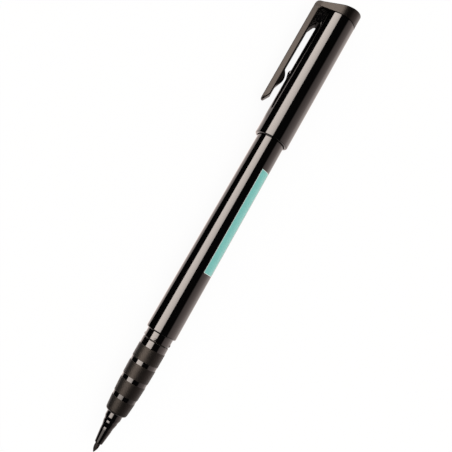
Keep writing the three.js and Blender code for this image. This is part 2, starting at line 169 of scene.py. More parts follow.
# Turning: the tree bends a grid round the axis, with one column for each point of the outline.
# Points that are closer than the weld distance become one, such as those on the axis.
weld_distance = 0.0005
turning, tree, given = geometry_tree("turned about the axis", Segments="Int")
outline_points = tree.add("GeometryNodeAttributeDomainSize", {}, {"Geometry": given["Start"]})
rows = given["Segments"] + 1
grid = tree.add("GeometryNodeMeshGrid", {}, {"Vertices X": outline_points, "Vertices Y": rows})
index = tree.add("GeometryNodeInputIndex")
column = (index / rows).floor()
row = index - column * rows
outline_place = tree.add(
    "GeometryNodeSampleIndex", {"data_type": "FLOAT_VECTOR"},
    {"Geometry": given["Start"], "Value": tree.add("GeometryNodeInputPosition"), "Index": column})
turned_place = tree.add(
    "ShaderNodeVectorRotate", {"rotation_type": "X_AXIS"},
    {"Vector": outline_place, "Angle": row * math.tau / given["Segments"]})
bent = tree.add("GeometryNodeSetPosition", {}, {"Geometry": grid, "Position": turned_place})
closed = tree.add("GeometryNodeMergeByDistance", {}, {"Geometry": bent, "Distance": weld_distance})
end_tree(tree, closed, given["Material"])


def turned(outline, coat, segments=160):
    """Mesh of an outline of (x, radius) points turned round the pen's axis."""
    start = bpy.data.meshes.new("outline")
    start.from_pydata([(x, radius, 0) for x, radius in outline], [], [])
    return grown(turning, start, Segments=segments, Material=coat)


def piece(name, mesh, body, slot, *nodes):
    """Object of a mesh drawn in the pen's frame, which rides on a body in place of CAD nodes."""
    work = bmesh.new()
    work.from_mesh(mesh)
    bmesh.ops.remove_doubles(work, verts=work.verts, dist=weld_distance)
    bmesh.ops.recalc_face_normals(work, faces=work.faces)
    if work.calc_volume(signed=True) < 0:
        bmesh.ops.reverse_faces(work, faces=work.faces)
    work.to_mesh(mesh)
    work.free()
    mesh.transform(pen_to_row)
    mesh.shade_smooth()
    mesh.set_sharp_from_angle(angle=math.radians(32))
    made = bpy.data.objects.new(name, mesh)
    scene.collection.objects.link(made)
    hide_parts(*nodes)
    if body:
        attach(made, body)
    return made


def material(name, **constants):
    """A new material: its tree and its Principled shader, with the sockets that stay constant."""
    made = bpy.data.materials.new(name)
    made.use_nodes = True
    shader = made.node_tree.nodes["Principled BSDF"]
    for label, value in constants.items():
        shader.inputs[label.replace("_", " ")].default_value = value
    return made, Tree(made.node_tree.nodes, made.node_tree.links), shader


def colour(red, green, blue):
    return (red, green, blue, 1.0)


def pattern(tree, size, stretch=(1, 1, 1), detail=3.0, roughness=0.5):
    """Noise with features of a size in millimetres, stretched along the axes, which stays on its
    piece because it reads Object coordinates."""
    place = tree.add("ShaderNodeTexCoord", {}, {}, "Object")
    scale = tuple(1 / (size * millimetre * length) for length in stretch)
    place = tree.add("ShaderNodeMapping", {}, {"Vector": place, "Scale": scale})
    sockets = {"Vector": place, "Scale": 1.0, "Detail": detail, "Roughness": roughness}
    return tree.add("ShaderNodeTexNoise", {}, sockets)


def mixed(tree, factor, low, high):
    """A colour between two others. Sockets 6 and 7 and output 2 are the Mix node's colours."""
    return tree.add("ShaderNodeMix", {"data_type": "RGBA"}, {0: factor, 6: low, 7: high}, 2)


def finish(tree, shader, base, roughness, *reliefs):
    """Feeds a shader's colour, its roughness and its reliefs of (pattern, millimetres)."""
    fed = {"Base Color": base, "Roughness": roughness}
    for relief, height in reliefs:
        sockets = {"Height": relief, "Distance": height * millimetre}
        if "Normal" in fed:
            sockets["Normal"] = fed["Normal"]
        fed["Normal"] = tree.add("ShaderNodeBump", {}, sockets)
    for label, value in fed.items():
        tree.links.new(value.socket, shader.inputs[label])


inked_felt, tree, shader = material("inked felt", Specular_IOR_Level=0.15)
streaks = pattern(tree, size=0.12, stretch=(9, 1, 1), detail=4.0)
tangle = pattern(tree, size=0.35)
felt_base = mixed(tree, streaks.between(0.35, 0.7), colour(0.002, 0.001, 0.001),
                  colour(0.014, 0.009, 0.008))
felt_roughness = 0.62 + 0.3 * tangle
finish(tree, shader, felt_base, felt_roughness, (streaks, 0.04), (tangle, 0.03))

nib_start, nib_end = stations("nib")
nib_radius, nib_chamfer = 1.55 / 2, 0.15
point_length, tip_radius = 2.1, 0.22
# The point is an arc that meets the rod tangentially, and a small round tip replaces its start
arc_radius = (nib_radius ** 2 + point_length ** 2) / (2 * nib_radius)
arc_steps, tip_steps = 24, 5
nib_outline = [(nib_start + tip_radius * (1 - math.cos(turn)), tip_radius * math.sin(turn))
               for turn in (math.radians(12 * i) for i in range(7))]
for i in range(tip_steps, arc_steps + 1):
    x = point_length * i / arc_steps
    arc = math.sqrt(arc_radius ** 2 - (point_length - x) ** 2)
    nib_outline.append((nib_start + x, arc + nib_radius - arc_radius))
nib_outline += [(nib_end - nib_chamfer, nib_radius), (nib_end, nib_radius - nib_chamfer),
                (nib_end, 0)]
piece("nib_felt", turned(nib_outline, inked_felt, segments=64), "pen", "nib_fibre", "nib")


# Nib holder
# Glossy black polypropylene cone that steps out from the nib to the grip over two narrow lands,
# with a fine groove at the first step. Its rear plug is pressed into the front section.
gloss_black, tree, shader = material("gloss black", Specular_IOR_Level=0.5)
handling = pattern(tree, size=6, stretch=(2, 1, 1), detail=4.0)
hairlines = pattern(tree, size=0.2, stretch=(40, 1, 1), detail=2.0)
sink = pattern(tree, size=16, stretch=(1.5, 1, 1), detail=1.0)
gloss_base = mixed(tree, handling, colour(0.0006, 0.0006, 0.0007), colour(0.0016, 0.0015, 0.0016))
gloss_roughness = 0.05 + 0.05 * handling + 0.02 * hairlines.between(0.55, 0.75)
finish(tree, shader, gloss_base, gloss_roughness, (hairlines, 0.0004), (sink, 0.006))


def rounded(corners, steps=6, guard=0.06):
    """Outline through (x, radius, fillet) corners, closed unless it starts on the axis. Its first
    corner stays sharp, and so does the last one of an open outline.

    Points at the guard's distance from each end of a long side keep its shading flat."""
    if corners[0][1] > 0:
        corners = [*corners, corners[0]]
    places = [complex(x, radius) for x, radius, _ in corners]
    points = [places[0]]
    for k in range(1, len(corners) - 1):
        back, ahead = places[k - 1] - places[k], places[k + 1] - places[k]
        back, ahead = back / abs(back), ahead / abs(ahead)
        fillet = corners[k][2]
        if not fillet:
            points.append(places[k])
            continue
        half = abs(cmath.phase(ahead / back)) / 2
        centre = places[k] + (back + ahead) / abs(back + ahead) * fillet / math.sin(half)
        spoke = places[k] + back * fillet / math.tan(half) - centre
        sweep = cmath.phase((places[k] + ahead * fillet / math.tan(half) - centre) / spoke)
        points += [centre + spoke * cmath.rect(1, sweep * i / steps) for i in range(steps + 1)]
    points.append(places[-1])
    guarded = [points[0]]
    for start, end in zip(points, points[1:]):
        side = end - start
        if abs(side) > 5 * guard:
            guarded += [start + side / abs(side) * guard, end - side / abs(side) * guard]
        guarded.append(end)
    return [(point.real, point.imag) for point in guarded]


holder_start, holder_end = stations("nib_holder")
grip_start, spigot_end = stations("front_grip")
nib_hole, hole_chamfer, front_radius = nib_radius + 0.02, 0.1, 1.2
groove, groove_slope = holder_start + 4.4, 0.06
groove_edge, groove_radius = 1.76, 1.64
land_1, land_1_end, land_1_radius = groove + 0.3, groove + 0.8, 1.77
land_2, land_2_end, land_2_radius = groove + 2.3, groove + 2.9, 2.14
holder_plug, holder_plug_radius, holder_plug_bore = groove + 3.9, 2.46, 1.71
piece("nib_holder_cone", turned(rounded([
    (holder_start + hole_chamfer, nib_hole, 0),
    (holder_start, nib_hole + hole_chamfer, 0),
    (holder_start, front_radius, 0.2),
    (groove, groove_edge, 0.03),
    (groove + groove_slope, groove_radius, 0.03),
    (land_1 - groove_slope, groove_radius, 0.03),
    (land_1, land_1_radius, 0.04),
    (land_1_end, land_1_radius, 0.12),
    (land_2, land_2_radius, 0.12),
    (land_2_end, land_2_radius, 0.12),
    (holder_plug, holder_plug_radius, 0.14),
    (holder_end, holder_plug_radius, 0.15),
    (holder_end, holder_plug_bore, 0.1),
    (grip_start, holder_plug_bore, 0.2),
    (holder_plug, nib_hole, 0.1),
]), gloss_black), "pen", "gloss_black", "nib_holder")


# Front section
# Black polypropylene moulding that holds the nib holder and plugs into the barrel. The grip's skin
# is spark-eroded to a satin, and three polished rings and a polished collar are cut into it.
satin_black, tree, shader = material("spark-eroded black", Specular_IOR_Level=0.19,
                                     Specular_Tint=colour(1.0, 0.9, 0.81), Sheen_Weight=0.07)
grain = pattern(tree, size=0.16, detail=2.0, roughness=0.6)
blotches = pattern(tree, size=3, stretch=(1.5, 1, 1), detail=4.0)
wear = pattern(tree, size=0.55).between(0.62, 0.78)
satin_base = mixed(tree, grain.between(0.35, 0.7), colour(0.0008, 0.0007, 0.0006),
                   colour(0.002, 0.0017, 0.0016))
satin_roughness = 0.39 + 0.1 * blotches - 0.06 * wear
finish(tree, shader, satin_base, satin_roughness, (grain, 0.012), (blotches, 0.01))

grip_end = grip_start + 21.4
lip_round, grip_widest, grip_swell, swell_power = 0.9, 4.3, 0.87, 2.5
skin_step, skin_margin = 0.7, 0.5
first_ring, ring_pitch, ring_half, ring_depth = grip_start + 5.3, 5.6, 0.65, 0.08
collar_end, collar_radius = grip_end + 2.2, 4.23
relief_start, relief_end, relief_radius = collar_end - 0.08, collar_end + 0.45, 3.2
spigot_radius, spigot_bore = 3.64, 3.12
holder_bore = holder_plug_radius + 0.04
wall_start, wall_end, ink_passage = holder_end + 0.25, holder_end + 1.45, 1.6


def grip_radius(x):
    """The grip swells from 6.86 mm across at its lip to 8.6 mm where the fingers stop."""
    share = (x - grip_start - lip_round) / (grip_end - grip_start - lip_round)
    return grip_widest - grip_swell * max(0, 1 - share) ** swell_power


def grip_skin(start, end):
    """Corners along the swell of the grip's skin, from a start to a margin before an end."""
    count = math.ceil((end - skin_margin - start) / skin_step)
    xs = [start + skin_step * i for i in range(count)]
    return [(x, grip_radius(x), 0) for x in xs]


ring_stations = [first_ring + ring_pitch * k for k in range(3)]
grip_corners = [(grip_start, holder_bore, 0),
                (grip_start, grip_radius(grip_start), lip_round - 0.02)]
skin_start = grip_start + 1.6
for station in ring_stations:
    near, far = station - ring_half, station + ring_half
    grip_corners += grip_skin(skin_start, near)
    grip_corners += [
        (near, grip_radius(near), 0.05),
        (near, grip_radius(near) - ring_depth, 0.03),
        (far, grip_radius(far) - ring_depth, 0.03),
        (far, grip_radius(far), 0.05),
    ]
    skin_start = far + skin_step
grip_corners += grip_skin(skin_start, grip_end)
grip_corners += [
    (grip_end, grip_widest, 0.06),
    (grip_end, collar_radius, 0.02),
    (relief_start, collar_radius, 0.04),
    (relief_start, relief_radius, 0.04),
    (relief_end, relief_radius, 0.04),
    (relief_end + 0.15, spigot_radius, 0.04),
    (spigot_end, spigot_radius, 0.16),
    (spigot_end, spigot_bore, 0.05),
    (wall_end, spigot_bore, 0.1),
    (wall_end, ink_passage, 0.1),
    (wall_start, ink_passage, 0.1),
    (wall_start, holder_bore, 0.05),
]
grip_mesh = turned(rounded(grip_corners), satin_black, segments=192)
grip_mesh.materials.append(gloss_black)
for face in grip_mesh.polygons:
    x, y, z = face.center
    off_axis = math.hypot(y, z)
    on_ring = any(abs(x - station) < ring_half for station in ring_stations)
    on_skin = x < grip_end and off_axis > grip_radius(x) - ring_depth - 0.02
    on_spigot = x > relief_start - 0.02 and off_axis < collar_radius - 0.08
    face.material_index = int(not on_spigot and (on_ring or not on_skin))
piece("front_section", grip_mesh, "pen", "textured_black", "front_grip")


# Barrel
# Tapered tube of glossy black polypropylene with a narrower neck. Four small pips on the neck and
# four ribs in the bore are moulded with it. The front section's spigot is pressed into its mouth.
repeating, tree, given = geometry_tree("repeated round the axis", Count="Int", First_turn="Float")
points = tree.add("GeometryNodeMeshLine", {}, {"Count": given["Count"], "Offset": (0, 0, 0)})
index = tree.add("GeometryNodeInputIndex")
copy_turn = tree.add(
    "FunctionNodeAxisAngleToRotation", {},
    {"Axis": (1, 0, 0), "Angle": given["First_turn"] + index * math.tau / given["Count"]})
copies = tree.add("GeometryNodeInstanceOnPoints", {},
                  {"Points": points, "Instance": given["Start"], "Rotation": copy_turn})
end_tree(tree, copies, given["Material"])


def bar(start, end, low, high, width, edge):
    """Mesh of a bar along the pen with rounded edges."""
    work = bmesh.new()
    bmesh.ops.create_cube(work, size=1)
    for vert in work.verts:
        vert.co.x = start if vert.co.x < 0 else end
        vert.co.y = low if vert.co.y < 0 else high
        vert.co.z *= width
    bmesh.ops.bevel(work, geom=work.edges[:], offset=edge, segments=3, profile=0.5,
                    affect="EDGES")
    mesh = bpy.data.meshes.new("bar")
    work.to_mesh(mesh)
    work.free()
    return mesh


def united(mesh, *tools):
    """Mesh with other meshes joined to it as one closed body."""
    worker = bpy.data.objects.new("worker", mesh)
    helpers = [bpy.data.objects.new("tool", tool) for tool in tools]
    for made in (worker, *helpers):
        scene.collection.objects.link(made)
    for helper in helpers:
        modifier = worker.modifiers.new("joined", "BOOLEAN")
        modifier.operation, modifier.solver, modifier.object = "UNION", "EXACT", helper
    graph = bpy.context.evaluated_depsgraph_get()
    result = bpy.data.meshes.new_from_object(worker.evaluated_get(graph))
    for made in (worker, *helpers):
        bpy.data.objects.remove(made)
    return result


neck_start, barrel_end = stations("barrel")
neck_joint, neck_radius = neck_start + 0.06, 4.24
shoulder, shoulder_radius, shoulder_round = neck_start + 2.6, 4.91, 0.5
barrel_bore, barrel_taper = 3.7, 0.51
pip_station, pip_turn, pip_radius, pip_rise = neck_start + 0.55, -0.11, 0.42, 0.17


def barrel_radius(x):
    """The barrel tapers from 9.82 mm across at its shoulder to 8.8 mm at its rear end."""
    return shoulder_radius - barrel_taper * (x - shoulder) / (barrel_end - shoulder)


barrel_tube = turned(rounded([
    (neck_joint, barrel_bore, 0),
    (neck_joint, neck_radius, 0.04),
    (shoulder, neck_radius, 0.05),
    (shoulder, shoulder_radius, shoulder_round),
    (barrel_end, barrel_radius(barrel_end), 0.05),
    (barrel_end, barrel_bore, 0.05),
]), gloss_black, segments=192)
work = bmesh.new()
bmesh.ops.create_uvsphere(work, u_segments=24, v_segments=16, radius=1,
                          matrix=Matrix.Translation((pip_station, neck_radius, 0))
                          @ Matrix.Diagonal((pip_radius, pip_rise, pip_radius, 1)))
pip = bpy.data.meshes.new("pip")
work.to_mesh(pip)
work.free()
pips = grown(repeating, pip, Count=4, First_turn=pip_turn, Material=gloss_black)
rib = bar(spigot_end + 0.25, barrel_end - 8.25, low=3.11, high=4.05, width=0.8, edge=0.1)
ribs = grown(repeating, rib, Count=4, First_turn=math.tau / 8, Material=gloss_black)
piece("barrel_tube", united(barrel_tube, pips, ribs), "pen", "gloss_black", "barrel")


# Printed panel
# Plain field of teal ink inside a fine pale line, pad-printed on the barrel before assembly. It
# follows the barrel's curve on the side away from the clip.
teal_ink, tree, shader = material("teal ink", Specular_IOR_Level=0.5)
mottle = pattern(tree, size=0.6, detail=4.0)
clouds = pattern(tree, size=6, detail=2.0)
teal = mixed(tree, 0.6 * mottle + 0.4 * clouds, colour(0.125, 0.43, 0.40),
             colour(0.165, 0.50, 0.465))
finish(tree, shader, teal, 0.3 + 0.12 * mottle, (mottle, 0.0015))

pale_ink, tree, shader = material("pale ink", Specular_IOR_Level=0.5)
speckle = pattern(tree, size=0.3)
pale = mixed(tree, speckle, colour(0.52, 0.66, 0.63), colour(0.68, 0.78, 0.75))
finish(tree, shader, pale, 0.34 + 0.1 * speckle, (speckle, 0.0015))

panel_start, panel_end = shoulder + 21.85, shoulder + 57.75
# The panel's long sides are turned from straight up, away from the clip
panel_high, panel_low = math.radians(10.5), math.radians(60.5)
line_width, ink_rise, ink_root = 0.13, 0.012, -0.03


def with_lines(start, end, line, steps):
    """Even steps from start to end, with one step more at a line's width inside each end."""
    even = [start + (end - start) * i / steps for i in range(1, steps)]
    return [start, start + line, *even, end - line, end]


def print_point(x, turn, rise):
    """The point at a height over the barrel, at a turn from straight up."""
    radius = barrel_radius(x) + rise
    return x, -radius * math.sin(turn + rest_turn), radius * math.cos(turn + rest_turn)


print_stations = with_lines(panel_start, panel_end, line_width, 24)
line_turn = line_width / barrel_radius((panel_start + panel_end) / 2)
print_turns = with_lines(panel_high, panel_low, line_turn, 32)
work = bmesh.new()
top, bottom = [[[work.verts.new(print_point(x, turn, rise)) for turn in print_turns]
                for x in print_stations] for rise in (ink_rise, ink_root)]
last_row, last_column = len(print_stations) - 1, len(print_turns) - 1
for i in range(last_row):
    for j in range(last_column):
        on_line = i in (0, last_row - 1) or j in (0, last_column - 1)
        for sheet in (top, bottom):
            face = work.faces.new((sheet[i][j], sheet[i + 1][j], sheet[i + 1][j + 1],
                                   sheet[i][j + 1]))
            face.material_index = int(on_line)
rim = [(i, 0) for i in range(last_row)] + [(last_row, j) for j in range(last_column)]
rim += [(i, last_column) for i in range(last_row, 0, -1)]
rim += [(0, j) for j in range(last_column, 0, -1)]
for (i, j), (k, l) in zip(rim, rim[1:] + rim[:1]):
    face = work.faces.new((top[i][j], top[k][l], bottom[k][l], bottom[i][j]))
    face.material_index = 1
panel_mesh = bpy.data.meshes.new("panel")
work.to_mesh(panel_mesh)
work.free()
panel_mesh.materials.append(teal_ink)
panel_mesh.materials.append(pale_ink)
piece("printed_panel", panel_mesh, "pen", "gloss_black")


# Ink reservoir
# Rod of crimped polyester fibre in a sleeve of clear film, which slides into the barrel between
# its ribs. It never shows, so the CAD solids stay and only their finish is made.
soaked_fibre, tree, shader = material("soaked fibre")
strands = pattern(tree, size=0.1, stretch=(30, 1, 1))
fibre_base = mixed(tree, strands, colour(0.01, 0.008, 0.01), colour(0.035, 0.028, 0.032))
finish(tree, shader, fibre_base, 0.8 + 0.15 * strands, (strands, 0.04))

clear_film, tree, shader = material("clear film", Transmission_Weight=0.85, IOR=1.49)
creases = pattern(tree, size=1.2, stretch=(6, 1, 1), detail=2.0)
film_base = mixed(tree, creases, colour(0.78, 0.8, 0.81), colour(0.9, 0.91, 0.92))
finish(tree, shader, film_base, 0.12 + 0.15 * creases, (creases, 0.02))

for node, coat in (("ink_reservoir", soaked_fibre), ("reservoir_sleeve", clear_film)):
    frame["nodes"][node].data.materials.clear()
    frame["nodes"][node].data.materials.append(coat)


# Tail plug
# Plain black polypropylene cup pressed into the barrel's rear end, flush with it and rounded over.
# It holds the reservoir in place.
plain_black, tree, shader = material("plain black", Specular_IOR_Level=0.5)
flow = pattern(tree, size=1.1, detail=4.0)
plain_base = mixed(tree, flow, colour(0.004, 0.004, 0.0042), colour(0.009, 0.0088, 0.009))
finish(tree, shader, plain_base, 0.26 + 0.14 * flow, (flow, 0.004))

plug_start, tail_end = stations("tail_plug")
tail_seat, tail_radius, tail_round = barrel_end + 0.06, barrel_radius(barrel_end), 0.45
plug_radius, plug_bore, plug_floor = barrel_bore - 0.06, 2.4, tail_seat + 0.2
piece("tail_cup", turned(rounded([
    (plug_floor, 0, 0),
    (plug_floor, plug_bore, 0.2),
    (plug_start, plug_bore, 0.1),
    (plug_start, plug_radius, 0.25),
    (tail_seat, plug_radius, 0.03),
    (tail_seat, tail_radius, 0.05),
    (tail_end, tail_radius, tail_round),
    (tail_end, 0, 0),
]), plain_black), "pen", "inner_black", "tail_plug")


# Inner cap
# Thimble of uncoloured polypropylene. Its flange seats on a ledge in the cap's tube, and its cone
# seals on the grip's lip when the cap is on the nose, which keeps the nib from drying.
natural_white, tree, shader = material("natural white", Subsurface_Weight=0.15,
                                       Subsurface_Radius=(0.0012, 0.001, 0.0008))
milk = pattern(tree, size=2, detail=2.0)
milk_base = mixed(tree, milk, colour(0.7, 0.69, 0.64), colour(0.78, 0.77, 0.73))
finish(tree, shader, milk_base, 0.34 + 0.12 * milk, (milk, 0.005))

inner_start, inner_end = stations("inner_cap")
inner_floor, inner_bore, inner_radius = inner_end - 0.55, 3.2, 3.75
cone_end, cone_mouth = inner_start + 2.65, 3.68
flange_end, flange_radius, flange_root = inner_start + 1.4, 4.65, 3.98
piece("sealing_thimble", turned(rounded([
    (inner_floor, 0, 0),
    (inner_floor, inner_bore, 0.5),
    (cone_end, inner_bore, 0.4),
    (inner_start, cone_mouth, 0.1),
    (inner_start, flange_radius, 0.15),
    (flange_end, flange_radius, 0.15),
    (flange_end, flange_root, 0.15),
    (cone_end, inner_radius, 0.3),
    (inner_end, inner_radius, 0.5),
    (inner_end, 0, 0),
]), natural_white), "cap", "natural_white", "inner_cap")


# Cap tube
# Glossy black polypropylene sleeve with a slight draft. Six ribs in its mouth grip the barrel, a
# gusset on its side carries the clip's root, and a low catch stands opposite the clip's ball.
mouth, tube_end = stations("cap_tube")
clip_tip = stations("clip_arm")[0]
clip_low, clip_high, heel_radius = 7.286, 9.366, 1.5
seat = tube_end + 0.25
mouth_radius, top_radius = 5.576, 5.386
cap_bore, ledge_bore, ledge = 4.756, 4.406, inner_start + 1.65
sleeve = turned(rounded([
    (mouth, cap_bore, 0),
    (mouth, mouth_radius, 0.45),
    (tube_end, top_radius, 0.1),
    (tube_end, ledge_bore, 0.05),
    (ledge, ledge_bore, 0.05),
    (ledge, cap_bore, 0.05),
]), gloss_black, segments=192)
mouth_rib = bar(mouth + 1.6, mouth + 17.6, low=cap_bore - 0.13, high=cap_bore + 0.4, width=1.0,
                edge=0.06)
mouth_ribs = grown(repeating, mouth_rib, Count=6, First_turn=math.tau / 12, Material=gloss_black)


def skinned(work, rings):
    """Adds closed rings of points to a bmesh, joins each to the next, and gives their vertices."""
    rings = [[work.verts.new(point) for point in ring] for ring in rings]
    count = len(rings[0])
    for near, far in zip(rings, rings[1:]):
        for a in range(count):
            b = (a + 1) % count
            work.faces.new((near[a], near[b], far[b], far[a]))
    return rings


def slab(views):
    """Mesh of side views of (x, y) points, one for each z across the clip, joined in order."""
    work = bmesh.new()
    rings = skinned(work, [[(x, y, z) for x, y in view] for z, view in views])
    ends = [work.faces.new(rings[0]), work.faces.new(rings[-1])]
    bmesh.ops.recalc_face_normals(work, faces=work.faces)
    bmesh.ops.inset_individual(work, faces=ends, thickness=0.04)
    mesh = bpy.data.meshes.new("slab")
    work.to_mesh(mesh)
    work.free()
    return mesh


# The gusset's front stands up from the tube by a step, and then leans back under the clip. Its
# top corner runs concentric with the clip's heel, a small gap inside it.
gusset_gap, gusset_root = 0.04, 4.6
gusset_foot, gusset_step, gusset_lean = seat - 5.0, 0.45, 2.6
gusset_half, gusset_round = 2.6, 0.8
gusset_corner = [(seat - heel_radius + (heel_radius - gusset_gap) * math.sin(turn),
                  clip_low - heel_radius + (heel_radius - gusset_gap) * math.cos(turn))
                 for turn in (math.radians(90 - 9 * i) for i in range(11))]
gusset_views = []
for k in range(-6, 7):
    turn = math.radians(15 * k)
    z = math.copysign(gusset_half - gusset_round, k) + gusset_round * math.sin(turn)
    front = gusset_foot + gusset_round * (1 - math.cos(turn))
    gusset_views.append((z, [
        (tube_end - 0.01, gusset_root),
        (tube_end - 0.01, clip_low - heel_radius),
        *gusset_corner,
        (front - gusset_lean, clip_low - gusset_gap),
        (front - gusset_step, top_radius + 2 * gusset_step),
        (front, top_radius + gusset_step),
        (front, gusset_root),
    ]))

# The catch is a low dome on the tube, whose sides fall away
catch_station, catch_top, catch_height, catch_root = clip_tip + 11.3, 5.5, 0.5, 0.4
catch_half, catch_fall, catch_radius, catch_ramp = 1.3, 0.7, 1.1, math.radians(13)
catch_sunk = catch_radius - catch_height
catch_back = math.asin(catch_sunk / catch_radius)
catch_sweep = math.pi / 2 + catch_ramp - catch_back


def catch_view(surface):
    """Side view of the catch: an arc at its back, then a straight ramp down towards the nib."""
    turns = [catch_back + catch_sweep * i / 20 for i in range(21)]
    arc = [(catch_station + catch_radius * math.cos(turn),
            catch_radius * math.sin(turn) - catch_sunk) for turn in turns]
    ramp_foot = arc[-1][0] - arc[-1][1] / math.tan(catch_ramp)
    view = [(arc[0][0], -catch_root), *arc, (ramp_foot, 0), (ramp_foot, -catch_root)]
    return [(x, surface + rise) for x, rise in view]


catch_views = []
for k in range(-6, 7):
    turn = math.radians(15 * k)
    surface = catch_top - catch_fall * (1 - math.cos(turn))
    catch_views.append((catch_half * math.sin(turn), catch_view(surface)))
piece("cap_sleeve", united(sleeve, mouth_ribs, slab(gusset_views), slab(catch_views)), "cap",
      "gloss_black", "cap_tube")


# Crown and clip
# One satin black moulding: a slanted head drawn out from the tube's circle to the clip, a plug
# that is pressed into the tube, and the springy strap with the ball that bears on a pocket's edge.
fine_satin, tree, shader = material("fine satin black", Specular_IOR_Level=0.175,
                                    Specular_Tint=colour(1.0, 0.92, 0.85))
fine_grain = pattern(tree, size=0.12, detail=2.0, roughness=0.6)
fine_blotches = pattern(tree, size=4, stretch=(1.5, 1, 1), detail=4.0)
fine_base = mixed(tree, fine_grain.between(0.35, 0.7), colour(0.0013, 0.0011, 0.001),
                  colour(0.003, 0.0026, 0.0024))
fine_roughness = 0.25 + 0.1 * fine_blotches
finish(tree, shader, fine_base, fine_roughness, (fine_grain, 0.005), (fine_blotches, 0.006))

strap_tip, bend_start, bend_length = clip_tip - 0.4, seat - heel_radius, 1.3
half_width, strap_taper, tip_lean, root_lean, strap_edge = 3.2, 1.6, 0.5, 0.16, 0.3
plan_radius, nose_radius, nose_height, ramp_length = 0.6, 0.52, 0.75, 2.5
side_steps = 8
# The fine chamfer inside, from its start to its end: depth and width in shares of its size
chamfer = 0.13
chamfer_steps = [(0.05, 0.85), (0.15, 0.74), (0.5, 0.62), (2.6, 0.12), (2.9, 0.04), (3.1, 0)]

ball_station, ball_height, ball_radius, ball_half = clip_tip + 8.65, 1.25, 3.6, 2.0
ball_ramp = math.radians(24)
ball_sunk = ball_radius - ball_height
ball_back = ball_station + math.sqrt(ball_radius ** 2 - ball_sunk ** 2)
ramp_start = ball_station - ball_radius * math.sin(ball_ramp)
ramp_rise = ball_radius * math.cos(ball_ramp) - ball_sunk
ramp_end = ramp_start - ramp_rise / math.tan(ball_ramp)

crown_slope, crown_height, crown_edge, corner_radius = math.radians(11.9), 3.36, 0.32, 1.6
corner_y = clip_high - corner_radius
corner_x = (seat + crown_height - corner_y * math.tan(crown_slope)
            - corner_radius / math.cos(crown_slope))


def ball_rise(x):
    """How far the ball stands out of the strap: an arc, with a ramp down towards the tip."""
    if not ramp_end < x < ball_back:
        return 0.0
    if x < ramp_start:
        return (x - ramp_end) * math.tan(ball_ramp)
    return math.sqrt(ball_radius ** 2 - (x - ball_station) ** 2) - ball_sunk


def outer_side(start, high, half, edge):
    """(y, z) points up the side from a start, round the edge and in to the middle."""
    y, z = start
    points = [(y + (high - edge - y) * i / side_steps, z + (half - z) * i / side_steps)
              for i in range(1, side_steps + 1)]
    for i in range(1, 7):
        turn = math.radians(15 * i)
        points.append((high - edge * (1 - math.sin(turn)), half - edge * (1 - math.cos(turn))))
    return points + [(high, (half - edge) * (1 - i / 10)) for i in range(1, 11)]


# Rings of the strap and of the crown have equally many points: 32 from the middle of the inner
# side to the foot of the outer side, and then those of the outer side
def strap_ring(x, low, high, half, bend=0.0):
    """Half ring round the strap, from the middle of its inner side to the middle of its outer
    side. A bend carries the inner side round the heel towards the crown's seat."""
    edge = min(strap_edge, (high - low) / 3)
    bevel = chamfer * edge / strap_edge
    lean = tip_lean + (root_lean - tip_lean) * (x - clip_tip) / (seat - clip_tip)
    low_half = half - lean * (low - clip_low) / (clip_high - clip_low)
    high_half = half - lean * (high - clip_low) / (clip_high - clip_low)
    flat_half = low_half - bevel
    bulge_half = min(ball_half, 0.95 * flat_half)

    def inner(depth, z):
        if not bend:
            return x, low + depth, z
        reach = heel_radius + max(0.0, depth) * math.cos(bend)
        return (bend_start + reach * math.sin(bend),
                clip_low - heel_radius + reach * math.cos(bend), z)

    ring = []
    for i in range(11):
        turn = math.radians(9 * i)
        ring.append(inner(-ball_rise(x) * math.cos(turn), bulge_half * math.sin(turn)))
    for i in range(1, 16):
        ring.append(inner(0.0, bulge_half + (flat_half - bulge_half) * i / 15))
    for depth, width in chamfer_steps:
        ring.append(inner(bevel * depth, low_half - bevel * width))
    foot_x, *foot = ring[-1]
    for i, (y, z) in enumerate(outer_side(foot, high, high_half, edge), 1):
        ring.append((foot_x + (x - foot_x) * min(1, i / side_steps), y, z))
    return ring


def crown_ring(inset, height):
    """Half ring of the crown's plan, set in: the tube's circle, a straight flank, the clip's end.
    The height is a function of y that gives x."""
    radius, half, outer = top_radius - inset, half_width - inset, clip_high - inset
    tangent = math.atan2(half, clip_low) + math.acos(radius / math.hypot(clip_low, half))
    turns = [math.pi - (math.pi - tangent) * i / 26 for i in range(27)]
    plan = [(radius * math.cos(turn), radius * math.sin(turn)) for turn in turns]
    y, z = plan[-1]
    plan += [(y + (clip_low - y) * i / 5, z + (half - z) * i / 5) for i in range(1, 6)]
    plan += outer_side((clip_low, half), outer, half - root_lean, strap_edge)
    return [(height(y), y, z) for y, z in plan]


def crown_top(y):
    """The top falls towards the clip, and rounds over into the clip's back."""
    if y < corner_y + corner_radius * math.sin(crown_slope):
        return seat + crown_height - y * math.tan(crown_slope)
    return corner_x + math.sqrt(max(0.0, corner_radius ** 2 - (y - corner_y) ** 2))


def nose(depth, radius):
    """How far a rounded corner of the strap's tip draws in at a depth."""
    reach = max(0.0, radius - depth)
    return radius - math.sqrt(radius ** 2 - reach ** 2)


